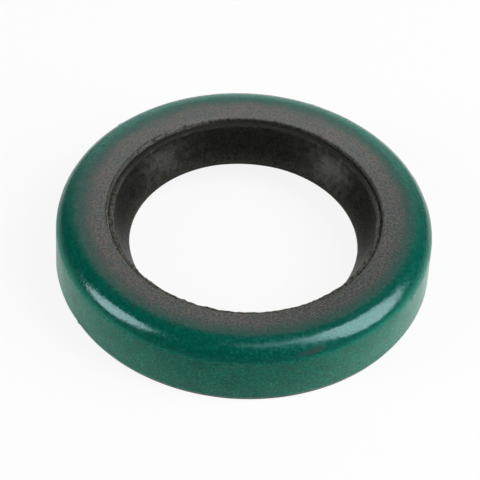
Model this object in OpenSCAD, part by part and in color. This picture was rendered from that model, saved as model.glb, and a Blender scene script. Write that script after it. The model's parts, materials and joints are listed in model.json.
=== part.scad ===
// Shift arm seal: a spring-loaded radial lip seal for a 5/8 in shaft in a 1 in housing bore.
// A drawn steel case carries a bonded rubber lip, and a garter spring holds the lip to the shaft.
// Millimetres. The axis of the shaft is Z, the seal stands on the open end of its case at Z = 0,
// and its closed face looks up.

/* [Fits] */
// Diameter of the housing bore that the case is pressed into
housing_bore_d = 25.40; // [24.5:0.05:32]
// How much larger the case is than the housing bore, on the diameter
press_allowance = 0.10; // [0.04:0.01:0.20]
// Diameter of the shaft that the lip runs on
shaft_d = 15.875; // [13:0.025:16.5]
// How much smaller the free lip is than the shaft, on the diameter
lip_interference = 0.315; // [0.1:0.005:0.8]

/* [Case] */
// Width of the case along the shaft
case_width = 4.76; // [4.2:0.02:8]
// Thickness of the steel
steel_t = 0.80; // [0.6:0.05:1.0]
// Outside radius of the drawn corner between the rim and the face
corner_r = 1.50; // [1.2:0.05:1.8]
// Radial clearance between the shaft and the hole in the face
face_clearance = 1.34; // [1.1:0.02:1.7]
// Radius of the rolled edge of the hole in the face
hole_edge_r = 0.15; // [0.05:0.01:0.25]
// Axial length of the lead-in chamfer at the open end
lead_len = 0.35; // [0.1:0.05:0.6]
// Radial depth of the lead-in chamfer at the open end
lead_depth = 0.15; // [0.05:0.01:0.3]

/* [Rubber] */
// Depth of the rubber ledge below the face, inside the hole
ledge_drop = 0.32; // [0.15:0.01:0.5]
// Radial width of the rubber ledge
ledge_w = 0.36; // [0.2:0.01:0.5]
// Depth of the lip's edge below the face
lip_depth = 2.86; // [2.5:0.02:3.1]
// Axial width of the land that touches the shaft
land_w = 0.24; // [0.1:0.02:0.4]
// Thickness of the lip's neck, between the ledge and the head
neck_t = 0.66; // [0.4:0.02:0.8]
// Thickness of the lip's head, between the land and the spring groove
head_t = 0.78; // [0.6:0.02:1.0]
// Axial depth of the lip's toe below the land
toe_drop = 0.80; // [0.6:0.05:1.0]
// Thickness of the rubber bonded under the face
heel_t = 0.55; // [0.3:0.05:0.8]
// Radial gap between the heel's outer edge and the start of the case's inner corner
heel_gap = 0.25; // [0.05:0.05:0.6]

/* [Garter spring] */
// Outside diameter of the spring's coil
coil_d = 1.10; // [0.8:0.05:1.3]
// Distance from the lip's edge up to the middle of the spring
spring_offset = 0.34; // [0.2:0.02:0.4]
// Clearance between the spring and its groove
spring_clearance = 0.02; // [0.01:0.005:0.05]
// How far the retaining bead reaches out past the middle of the spring
bead_reach = 0.12; // [0:0.02:0.3]

/* [Hidden] */

// Facets of a full turn about the shaft
$fn = 180;
// Straight steps that stand for one rounded corner of a section
arc_steps = 10;

// Fillets of the moulded rubber
ledge_edge_r = 0.12;
toe_edge_r = 0.12;
bead_edge_r = 0.22;
neck_fillet_r = 0.45;
heel_edge_r = 0.20;

// Case
case_r = (housing_bore_d + press_allowance) / 2;
rim_inner_r = case_r - steel_t;
hole_r = shaft_d / 2 + face_clearance;
under_face_z = case_width - steel_t;
corner_inner_r = corner_r - steel_t;

// Rubber
lip_r = (shaft_d - lip_interference) / 2;
lip_z = case_width - lip_depth;
land_top_z = lip_z + land_w / 2;
land_bottom_z = lip_z - land_w / 2;
ledge_z = case_width - ledge_drop;
ledge_inner_r = hole_r - ledge_w;
toe_z = land_bottom_z - toe_drop;
toe_r = lip_r + toe_drop;
heel_z = under_face_z - heel_t;
heel_outer_r = case_r - corner_r - heel_gap;

// Slope of the lip's upper cone, in radial millimetres per axial millimetre
cone_slope = (ledge_inner_r - lip_r) / (ledge_z - land_top_z);
neck_radial_t = neck_t * sqrt(1 + pow(cone_slope, 2));
function neck_outer_r(z) = lip_r + cone_slope * (z - land_top_z) + neck_radial_t;

// Garter spring
coil_r = coil_d / 2;
groove_r = coil_r + spring_clearance;
spring_r = lip_r + head_t + groove_r;
spring_z = lip_z + spring_offset;
bead_r = spring_r + bead_reach;
// Height at which the neck's outer side passes nearest to the middle of the spring
neck_start_z = spring_z
    + (spring_r - neck_outer_r(spring_z)) * cone_slope / (1 + pow(cone_slope, 2));

// Each corner is [radius, height, fillet]: the fillet's arc touches the two sides that meet there.
function side(from, to) = [to[0] - from[0], to[1] - from[1]] / norm([to[0] - from[0], to[1] - from[1]]);
function fillet_points(before, corner, after) =
    let (
        a = side(corner, before),
        b = side(corner, after),
        half = acos(a * b) / 2,
        tangent = corner[2] / tan(half),
        tip = [corner[0], corner[1]],
        centre = tip + (a + b) / norm(a + b) * corner[2] / sin(half),
        start = tip + a * tangent - centre,
        end = tip + b * tangent - centre,
        sweep = acos(start * end / pow(corner[2], 2)),
        turn = sign(start[0] * end[1] - start[1] * end[0])
    )
    [for (i = [0 : arc_steps])
        let (angle = turn * sweep * i / arc_steps)
        centre + [
            start[0] * cos(angle) - start[1] * sin(angle),
            start[0] * sin(angle) + start[1] * cos(angle)
        ]
    ];
function rounded(corners) =
    let (last = len(corners) - 1)
    [for (i = [0 : last])
        let (
            corner = corners[i],
            before = corners[i == 0 ? last : i - 1],
            after = corners[i == last ? 0 : i + 1]
        )
        each corner[2] > 0 ? fillet_points(before, corner, after) : [[corner[0], corner[1]]]
    ];

// Section of the case: the rim, the drawn corner and the face with its hole
module case_section() {
    polygon(rounded([
        [rim_inner_r, 0, 0],
        [case_r - lead_depth, 0, 0],
        [case_r, lead_len, 0],
        [case_r, case_width, corner_r],
        [hole_r, case_width, hole_edge_r],
        [hole_r, under_face_z, 0],
        [rim_inner_r, under_face_z, corner_inner_r]
    ]));
}

// Section of the rubber: the ledge in the hole, the cone down to the land, the head with its spring
// groove and retaining bead, the neck, and the heel bonded under the face
module lip_section() {
    difference() {
        polygon(rounded([
            [hole_r, under_face_z, 0],
            [hole_r, ledge_z, 0],
            [ledge_inner_r, ledge_z, ledge_edge_r],
            [lip_r, land_top_z, 0],
            [lip_r, land_bottom_z, 0],
            [toe_r, toe_z, toe_edge_r],
            [bead_r, toe_z, bead_edge_r],
            [bead_r, spring_z, 0],
            [neck_outer_r(neck_start_z), neck_start_z, 0],
            [neck_outer_r(heel_z), heel_z, neck_fillet_r],
            [heel_outer_r, heel_z, heel_edge_r],
            [heel_outer_r, under_face_z, 0]
        ]));
        translate([spring_r, spring_z]) circle(r = groove_r);
    }
}

module case() {
    color("seagreen") rotate_extrude() case_section();
}

module sealing_lip() {
    color("dimgray") rotate_extrude() lip_section();
}

// The closed coil of the spring, as the ring that its turns fill
module garter_spring() {
    color("silver") rotate_extrude() translate([spring_r, spring_z]) circle(r = coil_r);
}

case();
sealing_lip();
garter_spring();
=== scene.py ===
# %% [markdown]
# # A shift arm seal, dressed in Blender
#
# The seal is a steel cup with a rubber lip bonded into its hole and a small ring spring behind the lip.
# The solids are already made at their real size. This lesson keeps their sizes, gives each piece a finer
# mesh and its real finish, and lights the seal as a small product on a white table.

# %% Load the solids as a fixed frame
import json
import math

import bpy
import numpy as np
from mathutils import Matrix, Vector


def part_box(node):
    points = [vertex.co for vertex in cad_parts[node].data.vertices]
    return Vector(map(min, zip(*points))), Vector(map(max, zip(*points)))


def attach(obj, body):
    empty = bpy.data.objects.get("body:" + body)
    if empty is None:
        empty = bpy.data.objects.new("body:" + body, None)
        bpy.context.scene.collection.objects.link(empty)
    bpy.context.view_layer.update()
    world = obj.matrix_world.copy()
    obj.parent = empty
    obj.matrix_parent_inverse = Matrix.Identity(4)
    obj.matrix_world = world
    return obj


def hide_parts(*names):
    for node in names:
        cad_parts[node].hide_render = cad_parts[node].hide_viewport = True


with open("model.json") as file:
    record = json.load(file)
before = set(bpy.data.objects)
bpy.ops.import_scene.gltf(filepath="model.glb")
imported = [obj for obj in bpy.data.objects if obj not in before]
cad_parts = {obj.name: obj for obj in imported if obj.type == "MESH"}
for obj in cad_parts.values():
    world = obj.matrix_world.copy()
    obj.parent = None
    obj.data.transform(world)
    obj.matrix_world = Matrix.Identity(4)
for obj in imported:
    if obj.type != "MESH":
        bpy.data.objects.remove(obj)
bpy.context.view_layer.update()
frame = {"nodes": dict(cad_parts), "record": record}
MM = 0.001

# %% [markdown]
# ## Sizes
#
# What a shaft or a housing touches is stated in the record, so those sizes are read from it. Others can be
# measured on the solids: the smallest and largest distance of a node's corners from the axis. Only the
# sizes of the sections that neither tells are written here, in millimetres, as the solids have them.

# %% Read and measure the sizes
mounts = {mount["name"]: mount for mount in frame["record"]["mounts"]}
case_r = mounts["housing_fit"]["dims"]["r_mm"] * MM
face_z = mounts["closed_face"]["pos_m"][2]
lip_r = mounts["shaft_lip"]["dims"]["r_mm"] * MM
lip_z = mounts["shaft_lip"]["pos_m"][2]
land = mounts["shaft_lip"]["dims"]["length_mm"] * MM


def reach(node):
    """Smallest and largest distance of a solid's corners from the shaft's axis."""
    distances = [corner.co.xy.length for corner in frame["nodes"][node].data.vertices]
    return min(distances), max(distances)


hole_r = reach("case")[0]
heel_r = reach("sealing_lip")[1]
spring_low, spring_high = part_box("garter_spring")
coil_r = (spring_high.z - spring_low.z) / 2
spring_z = (spring_high.z + spring_low.z) / 2
spring_r = reach("garter_spring")[1] - coil_r

steel = 0.80 * MM
corner_r = 1.50 * MM
hole_edge = 0.15 * MM
lead_length = 0.35 * MM
lead_depth = 0.15 * MM
under_z = face_z - steel
print(f"outside {2 * case_r / MM:.2f}, hole {2 * hole_r / MM:.2f}, lip {2 * lip_r / MM:.2f} mm across")

# %% [markdown]
# ## The camera
#
# The photographer stood well back and looked down at the seal at about half a right angle, with a long lens,
# so its circles are nearly even ellipses. The camera looks at a point near the middle of the seal, and leans
# a little to one side, as a hand-levelled camera does.

# %% Place the camera
aim = Vector((-0.243, 0, 2.056)) * MM
camera_distance = 200 * MM
camera_height = math.radians(45.45)
camera_lean = math.radians(3.34)
focal_length = 220.2

camera = bpy.data.objects.new("camera", bpy.data.cameras.new("camera"))
bpy.context.scene.collection.objects.link(camera)
back = Vector((0, -math.cos(camera_height), math.sin(camera_height)))
facing = Matrix((Vector((1, 0, 0)), back.cross(Vector((1, 0, 0))), back)).transposed()
turn = facing @ Matrix.Rotation(camera_lean, 3, "Z")
camera.matrix_world = Matrix.Translation(aim + back * camera_distance) @ turn.to_4x4()
camera.data.lens = focal_length
camera.data.clip_start = camera_distance / 10
bpy.context.scene.camera = camera
bpy.context.scene.view_settings.view_transform = "Standard"
print("camera at", [round(x / MM, 1) for x in camera.location], "mm")

# %% [markdown]
# ## A small toolbox for materials
#
# Every finish here is wired from nodes. A few short words keep the wiring readable: one makes a node, others
# do a sum, a fade between two limits, a grain and a mix. All patterns are placed by the piece's own
# coordinates, counted in millimetres, so they stay on the piece from every side.

# %% Make the toolbox


class Wiring:
    """Short words for wiring the nodes of one tree."""

    def __init__(self, tree):
        self.tree = tree

    def node(self, kind, **settings):
        """A new node. A setting named as a socket is a value or a wire for it."""
        made = self.tree.nodes.new(kind)
        for name, value in settings.items():
            if name in made.inputs:
                self.feed(made.inputs[name], value)
            else:
                setattr(made, name, value)
        return made

    def feed(self, socket, value):
        """Set a socket to a value, or wire an output into it."""
        if isinstance(value, bpy.types.NodeSocket):
            self.tree.links.new(value, socket)
        else:
            socket.default_value = value

    def sum(self, operation, a, b=0.0, clamp=False):
        made = self.node("ShaderNodeMath", operation=operation, use_clamp=clamp)
        self.feed(made.inputs[0], a)
        self.feed(made.inputs[1], b)
        return made.outputs[0]

    def plus(self, a, b, clamp=False):
        return self.sum("ADD", a, b, clamp)

    def minus(self, a, b, clamp=False):
        return self.sum("SUBTRACT", a, b, clamp)

    def times(self, a, b):
        return self.sum("MULTIPLY", a, b)

    def over(self, a, b):
        return self.sum("DIVIDE", a, b)

    def squared(self, a):
        return self.sum("POWER", a, 2.0)

    def length(self, a, b):
        """The long side of a right triangle with the short sides a and b."""
        return self.sum("SQRT", self.plus(self.squared(a), self.squared(b)))

    def opposite(self, a):
        """1 where a is 0 and 0 where it is 1."""
        return self.minus(1.0, a)

    def fade(self, value, start, end):
        """0 up to start, 1 from end on, and a smooth step between."""
        made = self.node("ShaderNodeMapRange", interpolation_type="SMOOTHSTEP", Value=value)
        self.feed(made.inputs["From Min"], start)
        self.feed(made.inputs["From Max"], end)
        return made.outputs[0]

    def mix(self, amount, a, b):
        """Colour a where amount is 0 and b where it is 1."""
        # a mix node has its own inputs for each kind of value: 2 and 3 for numbers, 6 and 7 for colours
        made = self.node("ShaderNodeMix", data_type="RGBA")
        self.feed(made.inputs[0], amount)
        self.feed(made.inputs[6], a)
        self.feed(made.inputs[7], b)
        return made.outputs[2]

    def between(self, amount, a, b):
        """Number a where amount is 0 and b where it is 1."""
        made = self.node("ShaderNodeMix", data_type="FLOAT")
        self.feed(made.inputs[0], amount)
        self.feed(made.inputs[2], a)
        self.feed(made.inputs[3], b)
        return made.outputs[0]

    def ramp(self, value, limits, a, b):
        """Number a up to the first limit, b from the second on, and a smooth step between."""
        return self.between(self.fade(value, *limits), a, b)


class Finish(Wiring):
    """One material, with places in mm, and how far right (side) and back a place lies, from -1 to 1."""

    def __init__(self, name):
        self.material = bpy.data.materials.new(name)
        self.material.use_nodes = True
        super().__init__(self.material.node_tree)
        self.tree.nodes.clear()
        self.shader = self.node("ShaderNodeBsdfPrincipled")
        self.surface = self.node("ShaderNodeOutputMaterial").inputs["Surface"]
        self.feed(self.surface, self.shader.outputs[0])
        place = self.node("ShaderNodeTexCoord").outputs["Object"]
        scaled = self.node("ShaderNodeVectorMath", operation="SCALE", Vector=place, Scale=1 / MM)
        self.place = scaled.outputs[0]
        self.x, self.y, self.z = self.node("ShaderNodeSeparateXYZ", Vector=self.place).outputs
        self.r = self.length(self.x, self.y)
        self.side, self.back = self.over(self.x, self.r), self.over(self.y, self.r)

    def grain(self, per_mm, detail=2.0, roughness=0.5, at=None):
        """Soft noise from 0 to 1, with about this many lumps in a millimetre."""
        made = self.node("ShaderNodeTexNoise", Scale=per_mm, Detail=detail, Roughness=roughness)
        self.feed(made.inputs["Vector"], self.place if at is None else at)
        return made.outputs["Fac"]

    def rings(self, per_mm, detail=2.0):
        """The same noise, drawn out into rings round the shaft."""
        section = self.node("ShaderNodeCombineXYZ", X=self.r, Y=self.z).outputs[0]
        return self.grain(per_mm, detail, at=section)

    def shift(self, grain, reach):
        """A grain as a shift to both sides, over this reach in all."""
        return self.times(self.minus(grain, 0.5), reach)

    def bump(self, height, depth_mm):
        """A normal that follows a height from 0 to 1, this deep."""
        made = self.node("ShaderNodeBump", Height=height, Distance=depth_mm * MM)
        return made.outputs[0]

    def set(self, **values):
        """Set the shader's own sockets, with _ for a space in a socket's name."""
        for name, value in values.items():
            self.feed(self.shader.inputs[name.replace("_", " ")], value)
        return self.material


print("toolbox ready")

# %% [markdown]
# ## The table and the studio
#
# The seal stands on a white table that runs out of the picture. A plane does for it. The camera sees the
# table as paper white, yet part of its light stays real so that the seal's shadow shows on it. Shiny
# surfaces see it as a pool of light: bright close to the seal, dimmer farther out and towards the camera,
# and dark in the seal's hole. From below the table is clear, so that the oil side can be looked at.

# %% Lay the table
table_half = 600 * MM
table_colour = (0.82, 0.82, 0.82, 1)
paper_share = 0.88
hole_front, hole_back = 0.32, 0.07
# the pool's limits in mm, each from where a change begins to where it ends
pool_front, pool_middle = (-16.0, -11.0), (-9.0, 6.0)
pool_across, pool_aside = (-15.0, 15.0), (13.0, 38.0)
ring_edge, ring_fall = (13.6, 14.6), (16.0, 26.0)
ring_end, hole_middle = (4.0, 12.0), (-1.0, 8.0)
under_seal = (12.4, 12.9)

table_mesh = bpy.data.meshes.new("table")
corners = [(-1, -1), (1, -1), (1, 1), (-1, 1)]
table_mesh.from_pydata([(x * table_half, y * table_half, 0) for x, y in corners], [], [(0, 1, 2, 3)])
table = bpy.data.objects.new("table", table_mesh)
bpy.context.scene.collection.objects.link(table)


def pool_of_light(finish):
    """How bright the table looks to a shiny surface, at a place."""
    # it rises from the camera's side to the back, in two steps
    pool = finish.plus(0.05, finish.times(finish.fade(finish.y, *pool_front), 0.46))
    pool = finish.plus(pool, finish.times(finish.fade(finish.y, *pool_middle), 0.44))
    # it is a little dimmer on the left, and dark far out on both sides
    pool = finish.times(pool, finish.ramp(finish.x, pool_across, 0.80, 1.10))
    pool = finish.times(pool, finish.ramp(finish.sum("ABSOLUTE", finish.x), pool_aside, 1.0, 0.1))
    # but for the back, a narrow ring round the seal is brighter than what lies farther out
    ring = finish.ramp(finish.r, ring_edge, 1.15, 0.55)
    ring = finish.times(ring, finish.ramp(finish.r, ring_fall, 1.0, 0.55))
    pool = finish.times(pool, finish.ramp(finish.y, ring_end, ring, 1.0))
    # under the seal only the light that falls through its hole is left
    hole = finish.ramp(finish.y, hole_middle, hole_front, hole_back)
    return finish.ramp(finish.r, under_seal, hole, pool)


def table_white():
    """Paper white to the camera, a pool of light to shiny surfaces, and a matt white to all other light."""
    finish = Finish("table_white")
    finish.set(Base_Color=table_colour, Roughness=0.9)
    path = finish.node("ShaderNodeLightPath").outputs
    looked_at = finish.sum("MAXIMUM", path["Is Camera Ray"], path["Is Transmission Ray"])
    pool = finish.times(path["Is Glossy Ray"], pool_of_light(finish))
    glow = finish.sum("MAXIMUM", looked_at, pool)
    paper = finish.node("ShaderNodeEmission", Color=(1, 1, 1, 1), Strength=glow).outputs[0]
    seen = finish.sum("MAXIMUM", looked_at, path["Is Glossy Ray"])
    top = finish.node("ShaderNodeMixShader", Fac=finish.times(seen, paper_share))
    finish.feed(top.inputs[1], finish.shader.outputs[0])
    finish.feed(top.inputs[2], paper)
    below = finish.node("ShaderNodeNewGeometry").outputs["Backfacing"]
    sides = finish.node("ShaderNodeMixShader", Fac=below)
    finish.feed(sides.inputs[1], top.outputs[0])
    finish.feed(sides.inputs[2], finish.node("ShaderNodeBsdfTransparent").outputs[0])
    finish.feed(finish.surface, sides.outputs[0])
    return finish.material


table_mesh.materials.append(table_white())
print("table", 2 * table_half / MM, "mm wide")

# %% [markdown]
# The room is dark, but a white paper backdrop stands behind the seal and fades out to both sides. That is
# a world whose brightness depends on how far back a direction points, and how high. A bright, even sky
# would be quicker, but it would lay a white haze over the glossy paint. The camera sees white all round.

# %% Paint the room
room_light = 0.02
backdrop_narrowness = 7.0
backdrop_top = (math.sin(math.radians(30)), math.sin(math.radians(65)))

world = bpy.data.worlds.new("studio")
bpy.context.scene.world = world
world.use_nodes = True
room = Wiring(world.node_tree)
view = room.node("ShaderNodeTexCoord").outputs["Generated"]
level = room.node("ShaderNodeVectorMath", operation="MULTIPLY", Vector=view)
level.inputs[1].default_value = (1, 1, 0)
level = room.node("ShaderNodeVectorMath", operation="NORMALIZE", Vector=level.outputs[0])
backward = room.node("ShaderNodeSeparateXYZ", Vector=level.outputs[0]).outputs["Y"]
height = room.node("ShaderNodeSeparateXYZ", Vector=view).outputs["Z"]
glow = room.sum("POWER", room.sum("MAXIMUM", backward, 0.0), backdrop_narrowness)
glow = room.times(glow, room.opposite(room.fade(height, *backdrop_top)))
glow = room.sum("MAXIMUM", glow, room_light)
glow = room.sum("MAXIMUM", glow, room.node("ShaderNodeLightPath").outputs["Is Camera Ray"])
room.feed(world.node_tree.nodes["Background"].inputs["Strength"], glow)
world.node_tree.nodes["Background"].inputs["Color"].default_value = (1, 1, 1, 1)
print("room light", room_light)

# %% [markdown]
# Two oval softboxes light the seal: one low on the left, and a larger one on the right. A small white card
# hangs overhead and passes on some of their light. Each is an area lamp. The bright streaks on the seal's
# rounded corner are their mirror images, so their places and tilts were worked out backwards from those.

# %% Hang the softboxes
light_target = Vector((0, 0, face_z))
box_distance = 400 * MM


def direction_of(bearing, elevation):
    """The direction with this bearing from the right-hand side and this height, in degrees."""
    a, e = math.radians(bearing), math.radians(elevation)
    return Vector((math.cos(a) * math.cos(e), math.sin(a) * math.cos(e), math.sin(e)))


def softbox(name, glow, bearing, elevation, width, height, turn, nod, roll, shape="ELLIPSE"):
    """A flat lamp this wide and high in mm, facing the seal but for its tilts. Glow 1 is paper white."""
    lamp = bpy.data.lights.new(name, "AREA")
    lamp.shape = shape
    lamp.size, lamp.size_y = width * MM, height * MM
    area = lamp.size * lamp.size_y * (math.pi / 4 if shape == "ELLIPSE" else 1)
    lamp.energy = glow * math.pi * area
    out = direction_of(bearing, elevation)
    facing = out.to_track_quat("Z", "Y").to_matrix()
    for angle, axis in ((turn, "Y"), (nod, "X"), (roll, "Z")):
        facing = facing @ Matrix.Rotation(math.radians(angle), 3, axis)
    box = bpy.data.objects.new(name, lamp)
    bpy.context.scene.collection.objects.link(box)
    box.matrix_world = Matrix.Translation(light_target + out * box_distance) @ facing.to_4x4()
    box.visible_camera = False
    print(name, "power", round(lamp.energy, 3), "W")


softbox("left_box", glow=6.1, bearing=195.8, elevation=19.9, width=368, height=206,
        turn=15.5, nod=-16.8, roll=58.4)
softbox("right_box", glow=5.8, bearing=-5.9, elevation=20.3, width=602, height=286,
        turn=-38.2, nod=-43.0, roll=-55.7)
softbox("overhead_card", glow=1.95, bearing=-65.6, elevation=70.4, width=120, height=295,
        turn=67.6, nod=17.3, roll=86.4, shape="RECTANGLE")

# %% [markdown]
# ## Turning a section
#
# The pieces of the seal are round, so a mesh of one is a section turned about the shaft, as on a lathe.
# Blender's Screw modifier and spin tool can turn an outline too. Here the rings are laid out one by one:
# then every corner of the mesh has a known angle and place on the section, and small marks can be pressed
# into it exactly where the real seal has them. First come two helpers for the section itself.

# %% Round and divide a section


def rounded(outline, longest=0.15 * MM, fewest=5):
    """The outline's corners (radius, height, fillet) with an arc of points in place of each filleted one."""
    points = []
    for i, (r, z, fillet) in enumerate(outline):
        tip = Vector((r, z))
        if fillet == 0:
            points.append(tip)
            continue
        a = (Vector(outline[i - 1][:2]) - tip).normalized()
        b = (Vector(outline[(i + 1) % len(outline)][:2]) - tip).normalized()
        half = a.angle(b) / 2
        centre = tip + (a + b).normalized() * fillet / math.sin(half)
        start = tip + a * fillet / math.tan(half) - centre
        end = tip + b * fillet / math.tan(half) - centre
        sweep = -start.angle_signed(end)
        steps = max(fewest, math.ceil(abs(sweep) * fillet / longest))
        points += [centre + Matrix.Rotation(sweep * k / steps, 2) @ start for k in range(steps + 1)]
    return points


def divided(points, longest):
    """A closed outline with extra points, so that no side is longer than longest(r, z) at its middle."""
    dense = []
    for here, there in zip(points, points[1:] + points[:1]):
        middle = (here + there) / 2
        parts = max(1, math.ceil((there - here).length / longest(middle.x, middle.y)))
        dense += [here.lerp(there, k / parts) for k in range(parts)]
    return dense


square = rounded([(0, 0, 0), (3, 0, 1), (3, 3, 0)], 0.15)
print("a 1 mm fillet on a square corner gets", len(square) - 2, "points")

# %% [markdown]
# The lathe also unrolls each piece onto its UV map like a label: the length along the section runs up, and
# the angle runs along, half a turn in each of two rows. A label like this has no stretched corners, so the
# finishes keep their fine grain when they are baked.

# %% Make the lathe
label_sides, label_rows = 0.01, 0.02
sharp_from = math.radians(40)


def unrolled(section, turns):
    """UV places of the four corners of every face, with margins at the label's sides and rows."""
    count = len(section)
    ends = np.array([point[:] for point in section] + [section[0][:]])
    length = np.concatenate([[0], np.cumsum(np.hypot(*np.diff(ends, axis=0).T))])
    i, j = np.meshgrid(np.arange(turns), np.arange(count), indexing="ij")
    half = turns // 2
    u = np.stack([i % half + k for k in (0, 1, 1, 0)], 2) / half
    v = np.stack([length[j + k] for k in (0, 0, 1, 1)], 2) / length[-1]
    u = label_sides + (1 - 2 * label_sides) * u
    v = label_rows + (1 - 2 * label_rows) * v
    return np.stack([u, (i[:, :, None] // half + v) / 2], 3)


def lathe(name, section, turns, shape=None):
    """Turn a section, listed anticlockwise, about the shaft. Shape may move the points (angle, r, z)."""
    count = len(section)
    angle = np.linspace(0, 2 * np.pi, turns, endpoint=False)[:, None]
    r, z = (np.repeat(side[None, :], turns, 0) for side in np.array([point[:] for point in section]).T)
    if shape is not None:
        r, z = shape(angle, r, z)
    points = np.stack([r * np.cos(angle), r * np.sin(angle), z], 2).reshape(-1, 3)
    i, j = np.meshgrid(np.arange(turns), np.arange(count), indexing="ij")
    ahead, beside = (i + 1) % turns, (j + 1) % count
    faces = np.stack([i * count + j, ahead * count + j, ahead * count + beside, i * count + beside], 2)
    mesh = bpy.data.meshes.new(name)
    mesh.from_pydata(points.tolist(), [], faces.reshape(-1, 4).tolist())
    mesh.uv_layers.new(name="OFBake").uv.foreach_set("vector", unrolled(section, turns).ravel())
    mesh.shade_smooth()
    mesh.set_sharp_from_angle(angle=sharp_from)
    piece = bpy.data.objects.new(name, mesh)
    bpy.context.scene.collection.objects.link(piece)
    print(name, 2 * turns * count, "triangles")
    return piece


# %% [markdown]
# No pressed or moulded part is perfectly round. Two more helpers make the small unevenness: a wavy line
# that meets itself after a full turn, and a smooth step that says how strongly a mark is felt at a place.
# The waves start at random angles, from a fixed seed, so the seal comes out the same each time.

# %% Make unevenness


def uneven(angle, slowest, fastest, seed):
    """A wavy line round the circle, from -1 to 1, with this many waves in a turn."""
    start = np.random.default_rng(seed).uniform(0, 2 * np.pi, fastest - slowest)
    waves = np.arange(slowest, fastest)
    line = sum(wave ** -0.6 * np.sin(wave * angle + first) for wave, first in zip(waves, start))
    return line / np.abs(line).max()


def step(value, start, end):
    """0 at start, 1 at end and a smooth step between."""
    share = np.clip((value - start) / (end - start), 0, 1)
    return share * share * (3 - 2 * share)


print("half way a step is", step(0.5, 0, 1))

# %% [markdown]
# ## The case
#
# The case is pressed from sheet steel: a straight rim, a rounded corner and a flat face with a punched hole.
# A plain turned section would be too perfect, so the marks of the real one are pressed in. The punch stood
# a hair off centre and tore the edge of the hole into fine notches, with larger bites on the far left. The
# paint stands in small burrs on the corner, with a few pits, and it is scuffed in two places. Press work
# also leaves the corner very slightly wavy, which shows in the mirrored softboxes.

# %% List the marks on the case
rim_inner_r = case_r - steel
corner_centre = (case_r - corner_r, face_z - corner_r)
notch_depth = 0.09 * MM
bite_depth = 0.14 * MM
hole_off_centre = 0.04 * MM
tear_reach = 0.35 * MM
wave_depth = 0.005 * MM
# each press wave: waves round the case, how far it slants along the section, and its share of the depth
press_waves = [(23, 1.4, 0.7), (41, -2.1, 0.5), (64, 3.2, 0.35), (97, -4.0, 0.2)]
# each burr: angle in degrees, degrees up the rounded corner (or below 0, mm down the rim), width and height
burrs = [
    (136.7, 36, 0.17 * MM, 0.10 * MM),
    (96.5, 43, 0.13 * MM, 0.07 * MM),
    (69.5, 43, 0.17 * MM, 0.09 * MM),
    (65.0, 44, 0.20 * MM, -0.06 * MM),
    (25.8, 25, 0.18 * MM, -0.07 * MM),
    (-147.0, -2.9, 0.14 * MM, 0.06 * MM),
    (-118.5, 52, 0.20 * MM, -0.012 * MM),
]
# each scuff: angle in degrees, height in mm above the table, width round the case and height along it
scuffs = [
    (-70.2, 3.87, 0.40 * MM, 0.13 * MM),
    (-67.6, 3.93, 0.45 * MM, 0.15 * MM),
    (-64.9, 4.00, 0.50 * MM, 0.17 * MM),
    (-26.8, 3.30, 0.09 * MM, 0.30 * MM),
]
scuff_depth = 0.02 * MM
print(len(burrs), "burrs and", len(scuffs), "scuffs")

# %% [markdown]
# A sculpting brush could press the marks in by hand, but then it would have to be done again after every
# change of size. Here each mark is a small sum over all points of the mesh: burrs, scuffs and waves push the
# outer side straight out or in, and fade out within the sheet, and the tears push back the edge of the hole.

# %% Press the marks into the case


def outward(r, z):
    """The direction straight out of the case's outer side, as its radial and upward share."""
    a, b = np.maximum(r - corner_centre[0], 0), np.maximum(z - corner_centre[1], 0)
    size = np.hypot(a, b) + 1e-12
    return a / size, b / size


def corner_place(climb):
    """The place on the outer side this many degrees up the corner, or this many mm down the rim."""
    if climb < 0:
        return case_r, corner_centre[1] + climb * MM
    a = math.radians(climb)
    return corner_centre[0] + corner_r * math.cos(a), corner_centre[1] + corner_r * math.sin(a)


def spot(angle, r, z, at, place, width, height):
    """1 at a place on the case, fading to 0 over a width round the case and a height along its section."""
    along = (np.mod(angle - math.radians(at) + math.pi, 2 * math.pi) - math.pi) * r
    across = np.hypot(r - place[0], z - place[1])
    return np.exp(-((along / width) ** 2) - (across / height) ** 2)


def case_lift(angle, r, z):
    """How far the marks stand out of the case's outer side."""
    outer = step(r, rim_inner_r + 0.3 * steel, case_r) + step(z, face_z - 0.7 * steel, face_z)
    lift = np.zeros_like(r)
    for around, along, share in press_waves:
        lift = lift + wave_depth * share * np.sin(around * angle + along * (z - r) / corner_r)
    for at, climb, width, height in burrs:
        lift = lift + height * spot(angle, r, z, at, corner_place(climb), width, width)
    for at, level, width, height in scuffs:
        climb = math.degrees(math.asin((level * MM - corner_centre[1]) / corner_r))
        lift = lift - scuff_depth * spot(angle, r, z, at, corner_place(climb), width, height)
    return lift * np.clip(outer, 0, 1)


def case_tear(angle, r, z):
    """How far the edge of the hole is torn back: notches all round, and bites on the far left."""
    notches = step(uneven(angle, 30, 260, seed=4), -0.3, 0.9)
    tear = notches * notch_depth - hole_off_centre * np.sin(angle)
    bites = step(uneven(angle, 14, 110, seed=21), -0.1, 0.7) * step(-np.cos(angle), 0.1, 0.5)
    tear = tear + bite_depth * bites * step(np.sin(angle), 0.15, 0.45)
    tear = tear * step(r, hole_r + tear_reach, hole_r)
    return tear * step(z, face_z - 0.45 * steel, face_z - 0.25 * steel)


def case_marks(angle, r, z):
    """The case's points (angle, r, z), moved by all its marks."""
    out_r, out_z = outward(r, z)
    lift, tear = case_lift(angle, r, z), case_tear(angle, r, z)
    return r + lift * out_r + tear, z + lift * out_z


print("half way up the corner is", [round(x / MM, 2) for x in corner_place(45)], "mm out and up")

# %% [markdown]
# The outline of the section has the corners of the solid, each with its fillet. The outside gets a point
# every tenth of a millimetre, because the light shows each dent there. The hollow side needs fewer.

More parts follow.
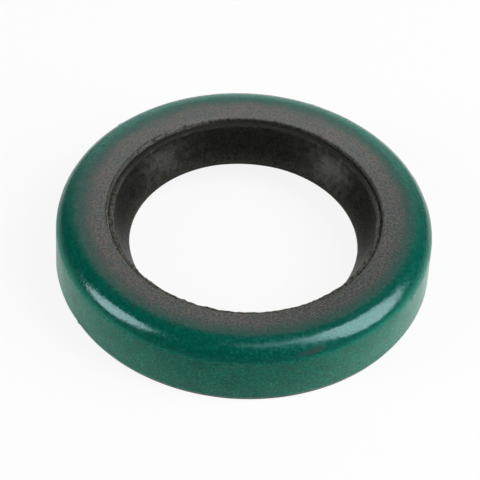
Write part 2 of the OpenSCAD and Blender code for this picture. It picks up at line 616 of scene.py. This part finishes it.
# %% Turn the case
case_turns = 840
outer_step = 0.10 * MM
inner_step = 0.35 * MM
case_outline = [
    (rim_inner_r, 0, 0),
    (case_r - lead_depth, 0, 0),
    (case_r, lead_length, 0),
    (case_r, face_z, corner_r),
    (hole_r, face_z, hole_edge),
    (hole_r, under_z, 0),
    (rim_inner_r, under_z, corner_r - steel),
]


def on_inside(r, z):
    """Whether a place on the case's section belongs to its hole or its hollow side."""
    hair = 0.001 * MM
    return r < hole_r + hole_edge / 2 or (r < rim_inner_r + hair and z < under_z + hair)


def case_step(r, z):
    return inner_step if on_inside(r, z) else outer_step


case_section = divided(rounded(case_outline, outer_step), case_step)
case = lathe("seal_case", case_section, case_turns, case_marks)
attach(case, "root")
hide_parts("case")

# %% [markdown]
# ## The case's finish
#
# The maker sprayed green paint on the rim and the corner, and the spray thinned out over the face, where the
# grey phosphate of the steel still shows. The paint could be a second mesh, but it is only a hundredth of a
# millimetre thick, so masks in one material do better: each says where a finish begins and ends, with some
# grain in its edge. First come the grains that all of it shares, and the masks of the spray and the corner.

# %% Spread the paint
spray_edge = (10.28, 11.80)
spray_shift = 0.10
bend_z = corner_centre[1] / MM


class CasePaint(Finish):
    """The case's outer finish, with the grains and masks that its colours share."""

    def __init__(self):
        super().__init__("case_paint")
        self.fine = self.grain(6.5, 2.0, 0.7)
        self.soft = self.grain(4.0, 3.0)
        self.slow = self.grain(1.6, 2.0)
        self.speck = self.fade(self.fine, 0.30, 0.70)
        self.turned = self.sum("ARCTAN2", self.y, self.x)
        stray = self.plus(self.times(self.fine, 1.5), self.times(self.slow, 0.3))
        stray = self.minus(stray, self.times(self.back, spray_shift))
        self.painted = self.fade(self.plus(self.r, self.minus(stray, 0.90)), *spray_edge)
        self.corner = self.fade(self.z, bend_z + 0.05, bend_z + 0.40)
        self.rim = self.opposite(self.corner)


print("paint reaches in to", spray_edge[0], "mm from the axis")

# %% [markdown]
# The green is deeper on the corner and lighter on the rim and at the back, with a fine dark speckle. On the
# two sides the rim's lighter green reaches further up the corner, and a pale green with a dusty grain lies
# on the rim, some more of it in a band half way up: painted light, where the two softboxes light the sides.
# Light flecks, olive stains and darker patches lie on the rim too. Each is one more colour, mixed in by its
# own mask.

# %% Mix the green and its dust
green_dark = (0.0005, 0.077, 0.053, 1)
green_light = (0.0008, 0.103, 0.072, 1)
green_rim = (0.0020, 0.196, 0.131, 1)
green_shade = (0.0002, 0.030, 0.021, 1)
rim_dust_and_highlight = (0.140, 0.420, 0.315, 1)
rim_olive = (0.036, 0.104, 0.055, 1)
stain_stretch = (0.8, 0.8, 1.6)
band_foot, band_top = (2.1, 2.6), (2.7, 3.2)


def dust_and_side_highlight(paint, sideways):
    """How much pale green lies on the rim: a painted highlight on its two sides, with a dusty grain, some
    more in a band half way up, and light flecks.
    """
    band = paint.times(paint.fade(paint.z, *band_foot), paint.opposite(paint.fade(paint.z, *band_top)))
    # painted highlight: the pale green lies mostly on the rim's two sides, where the softboxes light it
    share = paint.plus(paint.times(sideways, 0.66), paint.plus(paint.times(band, 0.10), 0.04))
    share = paint.plus(paint.times(share, sideways), 0.05)
    dust_and_highlight = paint.times(paint.times(paint.rim, paint.fade(paint.grain(9.0, 2.0), 0.28, 0.72)), share)
    dust_and_highlight = paint.times(dust_and_highlight, paint.ramp(paint.slow, (0.30, 0.70), 0.75, 1.15))
    flecks = paint.times(paint.fade(paint.grain(8.5, 2.0), 0.56, 0.74), 0.34)
    return paint.plus(dust_and_highlight, paint.times(flecks, paint.rim))


def mixed_green(paint):
    green = paint.mix(paint.fade(paint.soft, 0.35, 0.65), green_dark, green_light)
    sideways = paint.squared(paint.side)
    # painted light: on the two sides the rim's lighter green reaches further up the corner
    lit = paint.minus(paint.z, paint.times(sideways, 0.45))
    lit = paint.fade(lit, bend_z + 0.05, bend_z + 0.50)
    green = paint.mix(paint.times(paint.opposite(lit), 0.8), green, green_rim)
    green = paint.mix(paint.times(paint.fade(paint.back, 0.1, 0.8), 0.6), green, green_rim)
    shade = paint.times(paint.opposite(paint.speck), paint.between(paint.corner, 0.82, 0.38))
    green = paint.mix(shade, green, green_shade)
    green = paint.mix(dust_and_side_highlight(paint, sideways), green, rim_dust_and_highlight)
    stretched = paint.node("ShaderNodeVectorMath", operation="MULTIPLY", Vector=paint.place)
    stretched.inputs[1].default_value = stain_stretch
    stain = paint.fade(paint.grain(2.2, 4.0, 0.6, at=stretched.outputs[0]), 0.45, 0.70)
    green = paint.mix(paint.times(paint.times(stain, paint.rim), 0.50), green, rim_olive)
    patchy = paint.times(paint.fade(paint.grain(0.8, 3.0), 0.42, 0.68), paint.rim)
    return paint.mix(paint.times(patchy, 0.22), green, green_shade)


print("green from", green_dark[1], "on the corner to", green_rim[1], "on the rim")

# %% [markdown]
# Phosphate is a crust of tiny crystals, so the bare face is a warm and cool grey with dark pits between.
# Their dark colour is also painted over the near side and the right of the face, as painted shade.

# %% Mix the grey of the face
phosphate_warm = (0.156, 0.131, 0.117, 1)
phosphate_cool = (0.119, 0.124, 0.122, 1)
phosphate_pit_and_shade = (0.029, 0.023, 0.021, 1)


def mixed_grey(paint):
    grey = paint.mix(paint.fade(paint.slow, 0.35, 0.65), phosphate_warm, phosphate_cool)
    # painted shade: the face is made darker towards the near side and on the right
    pits_and_shade = paint.minus(0.96, paint.times(paint.fade(paint.back, -1.3, 1.3), 0.38))
    aslant = paint.over(paint.minus(paint.x, paint.times(paint.y, 0.4)), paint.r)
    pits_and_shade = paint.plus(pits_and_shade, paint.times(paint.fade(aslant, 0.3, 1.0), 0.20))
    pits_and_shade = paint.minus(pits_and_shade, paint.times(paint.speck, 0.80), clamp=True)
    return paint.mix(pits_and_shade, grey, phosphate_pit_and_shade)


print("pits are", round(phosphate_warm[0] / phosphate_pit_and_shade[0], 1), "times darker than the crystals")

# %% [markdown]
# Handling leaves its own marks: brown scuffs in the paint, and a thin strip at the foot of the rim where the
# steel is bare. Some of the black that bonds the rubber has crept over the edge of the hole, most of all on
# the left. These masks are laid over the paint last.

# %% Lay the wear over the paint
bare_steel = (0.110, 0.082, 0.055, 1)
bonding_black = (0.010, 0.010, 0.009, 1)
scuff_brown = (0.020, 0.022, 0.018, 1)
bare_foot = (0.06, 0.22)
creep_left = 0.17
creep_end = (-7.0, -4.0)


def worn_places(paint):
    """1 inside the scuffs."""
    scuff_and_pale_foot = 0.0
    for at, level, width, height in scuffs:
        along = paint.times(paint.minus(paint.turned, math.radians(at)), case_r / width)
        across = paint.times(paint.minus(paint.z, level), MM / height)
        away = paint.plus(paint.length(along, across), paint.shift(paint.soft, 3.0))
        scuff_and_pale_foot = paint.sum("MAXIMUM", scuff_and_pale_foot, paint.opposite(paint.fade(away, 0.2, 1.5)))
    return scuff_and_pale_foot


def with_wear(paint, colour, scuff_and_pale_foot):
    """The colour with its bare foot, its scuffs and the black at the hole."""
    foot = paint.plus(paint.z, paint.shift(paint.soft, 0.5))
    bare = paint.opposite(paint.fade(foot, *bare_foot))
    colour = paint.mix(bare, colour, bare_steel)
    colour = paint.mix(paint.times(scuff_and_pale_foot, 0.65), colour, scuff_brown)
    edge = paint.plus(paint.r, paint.shift(paint.soft, 0.20))
    edge = paint.minus(edge, paint.times(paint.opposite(paint.fade(paint.x, *creep_end)), creep_left))
    bonded = paint.opposite(paint.fade(edge, hole_r / MM - 0.05, hole_r / MM + 0.03))
    bonded = paint.times(bonded, paint.fade(paint.back, -0.60, -0.20))
    return paint.mix(bonded, colour, bonding_black)


print("wear:", len(scuffs), "scuffs, a bare foot and a black edge")

# %% [markdown]
# The corner is glossy, with the skin of an orange, but at the front its gloss is rubbed off. The rim and the
# bare face are dull. The paint's own reflection is tinted, so that the mirrored softboxes are a pale cyan,
# and a thin clear coat adds some white on the upper part of the corner.

# %% Put the case's finish together
rubbed_from = math.radians(-104), math.radians(-86)
rubbed_to = math.radians(-66), math.radians(-58)
relief_depth = 0.007
coat_from = (bend_z + 0.45, bend_z + 0.90)


def case_paint():
    paint = CasePaint()
    colour = paint.mix(paint.painted, mixed_grey(paint), mixed_green(paint))
    thin = paint.times(paint.painted, paint.opposite(paint.painted))
    colour = paint.mix(thin, colour, green_shade)
    scuff_and_pale_foot = worn_places(paint)
    colour = with_wear(paint, colour, scuff_and_pale_foot)

    sound = paint.times(paint.painted, paint.opposite(scuff_and_pale_foot))
    rubbed = paint.opposite(paint.fade(paint.turned, *rubbed_to))
    rubbed = paint.times(rubbed, paint.fade(paint.turned, *rubbed_from))
    orange_skin = paint.ramp(paint.soft, (0.35, 0.65), 0.11, 0.23)
    orange_skin = paint.plus(orange_skin, paint.times(rubbed, 0.08))
    rough = paint.between(sound, 0.65, paint.between(paint.corner, 0.28, orange_skin))
    high = paint.times(paint.fade(paint.z, *coat_from), paint.between(rubbed, 1.0, 0.2))
    gloss = paint.times(paint.times(sound, high), paint.times(paint.speck, 0.33))
    on_corner = paint.times(paint.plus(paint.soft, paint.fine), paint.between(rubbed, 1.5, 0.6))
    on_paint = paint.between(paint.corner, paint.times(paint.fine, 1.6), on_corner)
    relief = paint.bump(paint.between(paint.painted, paint.fine, on_paint), relief_depth)
    paint.set(Base_Color=colour, Roughness=rough, Coat_Weight=gloss, Normal=relief)
    paint.set(Specular_Tint=(0.58, 0.97, 1.0, 1), Specular_IOR_Level=0.58)
    return paint.set(Coat_Roughness=0.12, Coat_IOR=1.5)


case.data.materials.append(case_paint())
print("paint on", len(case.data.polygons), "faces")

# %% [markdown]
# The wall of the hole is torn steel, smeared with the black that bonds the rubber, more of it far from the
# camera. On the near side it is painted a light grey instead, lightest on the left, and its left side is
# painted paler too: painted highlights, where the softboxes light the hole. The rounded edge above it, its
# shoulder, has colours of its own, with a painted highlight on its near right.

# %% Colour the torn hole
torn_grey = (0.080, 0.079, 0.070, 1)
torn_side_highlight = (0.105, 0.103, 0.094, 1)
torn_far = (0.110, 0.108, 0.099, 1)
edge_grey = (0.044, 0.042, 0.039, 1)
edge_near_highlight = (0.130, 0.128, 0.118, 1)
edge_left = (0.042, 0.041, 0.037, 1)
edge_far = (0.070, 0.068, 0.063, 1)
near_left_highlight = (0.300, 0.297, 0.275, 1)
near_right_highlight = (0.165, 0.163, 0.150, 1)
hole_halves, left_end = (-2.0, 2.0), (-8.0, -4.5)
shoulder_rise = (face_z / MM - 0.13, face_z / MM - 0.02)


def hole_wall(skin, rightward, behind):
    torn = skin.mix(skin.fade(skin.grain(7.0, 3.0), 0.35, 0.65), bonding_black, torn_grey)
    torn = skin.mix(skin.times(skin.fade(skin.back, 0.80, 0.97), 0.45), torn, bonding_black)
    beside = skin.fade(skin.sum("ABSOLUTE", skin.side), 0.70, 0.95)
    # painted highlight: the left side of the wall is made paler
    torn = skin.mix(skin.times(beside, skin.between(rightward, 0.35, 0.0)), torn, torn_side_highlight)
    far_left = skin.times(skin.fade(skin.side, -0.15, -0.45), skin.fade(skin.back, 0.45, 0.65))
    far_left = skin.times(far_left, skin.fade(skin.grain(4.0, 4.0), 0.35, 0.60))
    torn = skin.mix(far_left, torn, torn_far)
    # painted highlight: the near side of the wall is a light grey, lighter on the left
    return skin.mix(behind, skin.mix(rightward, near_left_highlight, near_right_highlight), torn)


def hole_shoulder(skin, rightward, behind):
    # painted highlight: the near right of the shoulder is a light grey
    near = skin.mix(rightward, edge_left, edge_near_highlight)
    edge = skin.mix(skin.fade(skin.back, 0.3, 0.8), skin.mix(behind, near, edge_grey), edge_far)
    return skin.mix(skin.opposite(skin.fade(skin.x, *left_end)), edge, edge_left)


def torn_hole(skin):
    """The colour of the hole's wall, and of its shoulder above."""
    halves = skin.fade(skin.x, *hole_halves), skin.fade(skin.back, -0.30, 0.05)
    shoulder = skin.fade(skin.z, *shoulder_rise)
    return skin.mix(shoulder, hole_wall(skin, *halves), hole_shoulder(skin, *halves))


print("the shoulder begins", round(face_z / MM - shoulder_rise[0], 2), "mm below the face")

# %% [markdown]
# The hollow side of the case was never sprayed. It keeps the dark phosphate of the steel, with fine
# scratches from the press tool running round it. It and the hole are a second material on the same mesh,
# given to their faces only.

# %% Finish the case's hollow side
phosphate_dark = (0.045, 0.044, 0.043, 1)
phosphate_pale = (0.085, 0.082, 0.078, 1)
hole_end = (hole_r / MM + 0.10, hole_r / MM + 0.20)


def case_phosphate():
    skin = Finish("case_phosphate")
    drawn, cloud = skin.rings(9.0, 3.0), skin.grain(1.4, 4.0)
    tone = skin.plus(skin.times(drawn, 0.4), skin.times(cloud, 0.6))
    colour = skin.mix(skin.fade(tone, 0.35, 0.65), phosphate_dark, phosphate_pale)
    colour = skin.mix(skin.opposite(skin.fade(skin.r, *hole_end)), colour, torn_hole(skin))
    skin.set(Base_Color=colour, Roughness=skin.between(cloud, 0.45, 0.65))
    return skin.set(Normal=skin.bump(drawn, 0.004), Specular_IOR_Level=0.4)


case.data.materials.append(case_phosphate())
ends = zip(case_section, case_section[1:] + case_section[:1])
hollow = [on_inside(*((here + there) / 2)) for here, there in ends]
case.data.polygons.foreach_set("material_index", np.tile(np.array(hollow, dtype=np.int32), case_turns))
print(sum(hollow), "of", len(hollow), "bands are on the hollow side")

# %% [markdown]
# ## The rubber lip
#
# The lip is moulded onto the case. A narrow ledge of rubber fills the lower part of the hole. The mould left
# a fine ditch between it and the steel, and trimming left its edge ragged. From the ledge a smooth cone, a
# little hollow near its top, runs down to the sharp edge that touches the shaft. Behind the edge lies the
# groove for the spring.

# %% Draw the lip's section
ledge_drop = 0.32 * MM
ledge_width = 0.36 * MM
ditch_width = 0.12 * MM
ditch_depth = 0.13 * MM
neck = 0.66 * MM
toe_drop = 0.80 * MM
heel = 0.55 * MM
bead_reach = 0.12 * MM
spring_clearance = 0.02 * MM
ditch_fillet = 0.03 * MM
ledge_fillet = 0.12 * MM
toe_fillet = 0.12 * MM
bead_fillet = 0.22 * MM
neck_fillet = 0.45 * MM
heel_fillet = 0.20 * MM
ledge_z = face_z - ledge_drop
ledge_r = hole_r - ledge_width
cone_end = lip_z + land / 2
toe_z = lip_z - land / 2 - toe_drop
slope = (ledge_r - lip_r) / (ledge_z - cone_end)
groove_r = coil_r + spring_clearance


def neck_r(z):
    """Radius of the neck's outer side at a height."""
    return lip_r + slope * (z - cone_end) + neck * math.hypot(1, slope)


def groove(points=24):
    """The groove's arc, from the bead up to the neck."""
    bead_side = -math.acos(bead_reach / groove_r)
    distance = (spring_r - neck_r(spring_z)) / math.hypot(1, slope)
    neck_side = math.pi - math.atan(slope) - math.acos(distance / groove_r)
    sweep = [bead_side + (neck_side - 2 * math.pi - bead_side) * k / points for k in range(points + 1)]
    return [(spring_r + groove_r * math.cos(a), spring_z + groove_r * math.sin(a), 0) for a in sweep]


lip_outline = [
    (hole_r, under_z, 0),
    (hole_r, ledge_z - ditch_depth, 0),
    (hole_r - ditch_width / 2, ledge_z - ditch_depth, 0),
    (hole_r - ditch_width, ledge_z, ditch_fillet),
    (ledge_r, ledge_z, ledge_fillet),
    (lip_r, cone_end, 0),
    (lip_r, lip_z - land / 2, 0),
    (lip_r + toe_drop, toe_z, toe_fillet),
    (spring_r + bead_reach, toe_z, bead_fillet),
    *groove(),
    (neck_r(under_z - heel), under_z - heel, neck_fillet),
    (heel_r, under_z - heel, heel_fillet),
    (heel_r, under_z, 0),
]
print("cone slopes", round(math.degrees(math.atan(slope)), 1), "degrees from the shaft")

# %% [markdown]
# The lip is turned like the case, with marks of its own. They show only from the hole's side, so the section
# gets its closest points at the ledge.

# %% Turn the lip
lip_turns = 800
ledge_step = 0.06 * MM
plain_step = 0.16 * MM
ledge_swell = 0.022 * MM
ledge_ripple = 0.016 * MM
ragged_depth = 0.07 * MM
cone_hollow = 0.40 * MM


def lip_marks(angle, r, z):
    """The half filled ditch, the ledge's uneven top and ragged edge, and the hollow of the cone."""
    top = step(z, ledge_z - 0.16 * MM, ledge_z - 0.02 * MM)
    top = top * step(r, ledge_r - 0.12 * MM, ledge_r + 0.05 * MM)
    bottom = step(r, hole_r - ditch_width, hole_r - 0.5 * ditch_width)
    bottom = bottom * step(z, ledge_z - ditch_depth - 0.02 * MM, ledge_z - ditch_depth)
    z = z + bottom * ditch_depth * (0.6 + 0.5 * uneven(angle, 12, 130, seed=31))
    swell = ledge_swell * uneven(angle, 3, 60, seed=11)
    z = z + top * (swell + ledge_ripple * uneven(angle, 60, 240, seed=12))
    inner = step(z, ledge_z - 0.25 * MM, ledge_z - 0.05 * MM) * step(r, hole_r, hole_r - 0.10 * MM)
    r = r + inner * ragged_depth * uneven(angle, 14, 160, seed=13)
    down = np.clip((ledge_z - z) / (ledge_z - cone_end), 0, 1)
    beyond = r - lip_r - slope * (z - cone_end)
    hollow = cone_hollow * down * (1 - down) ** 3 * step(beyond, 0.06 * MM, 0.01 * MM)
    return r + hollow, z


def lip_step(r, z):
    return ledge_step if z > ledge_z - 0.2 * MM else plain_step


lip = lathe("seal_lip", divided(rounded(lip_outline), lip_step), lip_turns, lip_marks)
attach(lip, "root")
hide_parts("sealing_lip")

# %% [markdown]
# Moulded rubber is a very dark grey with a dull shine. The mould was turned, so faint rings run round the
# cone. A thin film lies on it in patches, and the cone is paler towards its lower end. The trimmed ledge is
# darker, with pale dusty patches towards the front only: behind the hole they are left off as painted shade.

# %% Finish the rubber
rubber_black = (0.0028, 0.0027, 0.0022, 1)
rubber_grey = (0.0135, 0.0136, 0.0110, 1)
ledge_dust_and_light = (0.087, 0.087, 0.069, 1)
lip_pale_foot = (0.026, 0.027, 0.019, 1)
film_grey = (0.019, 0.018, 0.018, 1)
ledge_rise = (ledge_z / MM - 0.22, ledge_z / MM - 0.02)
pale_foot_end = (lip_z / MM + 0.10, lip_z / MM + 1.10)


def lip_rubber():
    rubber = Finish("lip_rubber")
    turned, fine, soft = rubber.rings(14.0), rubber.grain(6.5, 2.0, 0.7), rubber.grain(2.0, 3.0)
    colour = rubber.mix(rubber.fade(fine, 0.30, 0.70), rubber_black, rubber_grey)
    film = rubber.fade(rubber.grain(5.0, 4.0, 0.7), 0.40, 0.80)
    colour = rubber.mix(rubber.times(film, 0.5), colour, film_grey)
    ragged = rubber.plus(rubber.z, rubber.shift(fine, 0.16))
    ledge = rubber.fade(ragged, *ledge_rise)
    colour = rubber.mix(rubber.times(ledge, 0.6), colour, rubber_black)
    # painted shade: the pale patches are left off the ledge behind the hole, so the far ledge stays dark
    behind = rubber.fade(rubber.back, -0.1, 0.6)
    dust_and_front_light = rubber.times(ledge, rubber.fade(rubber.grain(5.0, 4.0), 0.28, 0.62))
    dust_and_front_light = rubber.times(dust_and_front_light, rubber.opposite(behind))
    colour = rubber.mix(dust_and_front_light, colour, ledge_dust_and_light)
    # the cone is made paler towards its lower end
    scuff_and_pale_foot = rubber.opposite(rubber.fade(rubber.z, *pale_foot_end))
    colour = rubber.mix(rubber.times(scuff_and_pale_foot, rubber.fade(fine, 0.25, 0.60)), colour, lip_pale_foot)
    relief = rubber.plus(rubber.times(turned, 0.5), rubber.times(fine, 0.5))
    rough = rubber.between(ledge, rubber.ramp(soft, (0.3, 0.7), 0.20, 0.32), 0.9)
    rubber.set(Base_Color=colour, Roughness=rough, Normal=rubber.bump(relief, 0.010))
    return rubber.set(Specular_Tint=(0.98, 1.0, 0.94, 1))


lip.data.materials.append(lip_rubber())
print("rubber on", len(lip.data.polygons), "faces")

# %% [markdown]
# ## The garter spring
#
# Behind the lip a fine wire, wound into a close coil and joined into a ring, presses the lip onto the shaft.
# It could be a ring with a striped bump, but from the oil side every turn of the wire can be seen, so the
# wire is really wound: a helix round a circle, with a small round section swept along it. Its two ends meet
# in a joint, where one end is drawn in and screwed into the other.

# %% Draw the wire's path
wire_r = 0.10 * MM
windings = 268
points_a_winding = 16
joint_gap = 1.5 / windings
joint_end = 3 / windings
joint_draw = 0.35
winding_r = coil_r - wire_r


def helix():
    """Points on the middle of the wire, and at each the direction out of the coil."""
    share = np.linspace(0, 1, windings * points_a_winding + 1)
    angle = 2 * np.pi * (share * (1 - joint_gap) + joint_gap / 2)
    twist = 2 * np.pi * windings * share
    drawn_in = winding_r * (1 - joint_draw * step(share, 1 - joint_end, 1))
    out = np.stack([np.cos(twist) * np.cos(angle), np.cos(twist) * np.sin(angle), np.sin(twist)], 1)
    ring = np.stack([np.cos(angle), np.sin(angle), np.zeros_like(angle)], 1) * spring_r
    return ring + out * drawn_in[:, None] + np.array([0, 0, spring_z]), out


wire_middle, wire_out = helix()
wire_length = np.linalg.norm(np.diff(wire_middle, axis=0), axis=1).sum()
print("the wire is", round(wire_length / MM), "mm long")

# %% [markdown]
# The section that is swept along the path is an eight-sided ring, set square to the wire at each point. A
# curve with a bevel would sweep one too, but its rings can twist on such a tight coil. Here each ring starts
# from the direction out of the coil, so all of them line up. A flat face closes each end.

# %% Wind the spring
wire_sides = 8


def unit(vectors):
    return vectors / np.linalg.norm(vectors, axis=1)[:, None]


def swept(middle, out):
    """Points of a round wire along a path, one ring after another."""
    along = unit(np.gradient(middle, axis=0))
    across = unit(out - (out * along).sum(1)[:, None] * along)
    beside = np.cross(along, across)
    wire = []
    for k in range(wire_sides):
        a = 2 * np.pi * k / wire_sides
        wire.append(middle + wire_r * (math.cos(a) * across + math.sin(a) * beside))
    return np.stack(wire, 1).reshape(-1, 3)


def wind(name):
    count = len(wire_middle) - 1
    i, k = np.meshgrid(np.arange(count), np.arange(wire_sides), indexing="ij")
    beyond = (k + 1) % wire_sides
    here, there = i * wire_sides, (i + 1) * wire_sides
    faces = np.stack([here + k, here + beyond, there + beyond, there + k], 2).reshape(-1, 4).tolist()
    faces.append(list(range(wire_sides))[::-1])
    faces.append(list(range(count * wire_sides, (count + 1) * wire_sides)))
    mesh = bpy.data.meshes.new(name)
    mesh.from_pydata(swept(wire_middle, wire_out).tolist(), [], faces)
    mesh.shade_smooth()
    piece = bpy.data.objects.new(name, mesh)
    bpy.context.scene.collection.objects.link(piece)
    triangles = sum(len(face) - 2 for face in faces)
    print(name, triangles, "triangles,", windings, "windings")
    return piece


spring = wind("seal_spring")
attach(spring, "root")
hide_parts("garter_spring")

# %% [markdown]
# Spring wire is drawn through a die, so it is bright with fine darker streaks, and oil leaves it a little
# brown in places.

# %% Finish the spring wire
wire_bright = (0.46, 0.45, 0.43, 1)
wire_brown = (0.26, 0.22, 0.17, 1)


def spring_wire():
    wire = Finish("spring_wire")
    drawn = wire.grain(11.0, 3.0)
    stain = wire.fade(wire.grain(0.8, 3.0), 0.48, 0.72)
    colour = wire.mix(wire.times(stain, 0.7), wire_bright, wire_brown)
    rough = wire.between(drawn, 0.22, 0.42)
    return wire.set(Base_Color=colour, Roughness=rough, Metallic=1.0, Normal=wire.bump(drawn, 0.002))


spring.data.materials.append(spring_wire())
print("wire", 2 * wire_r / MM, "mm thick")
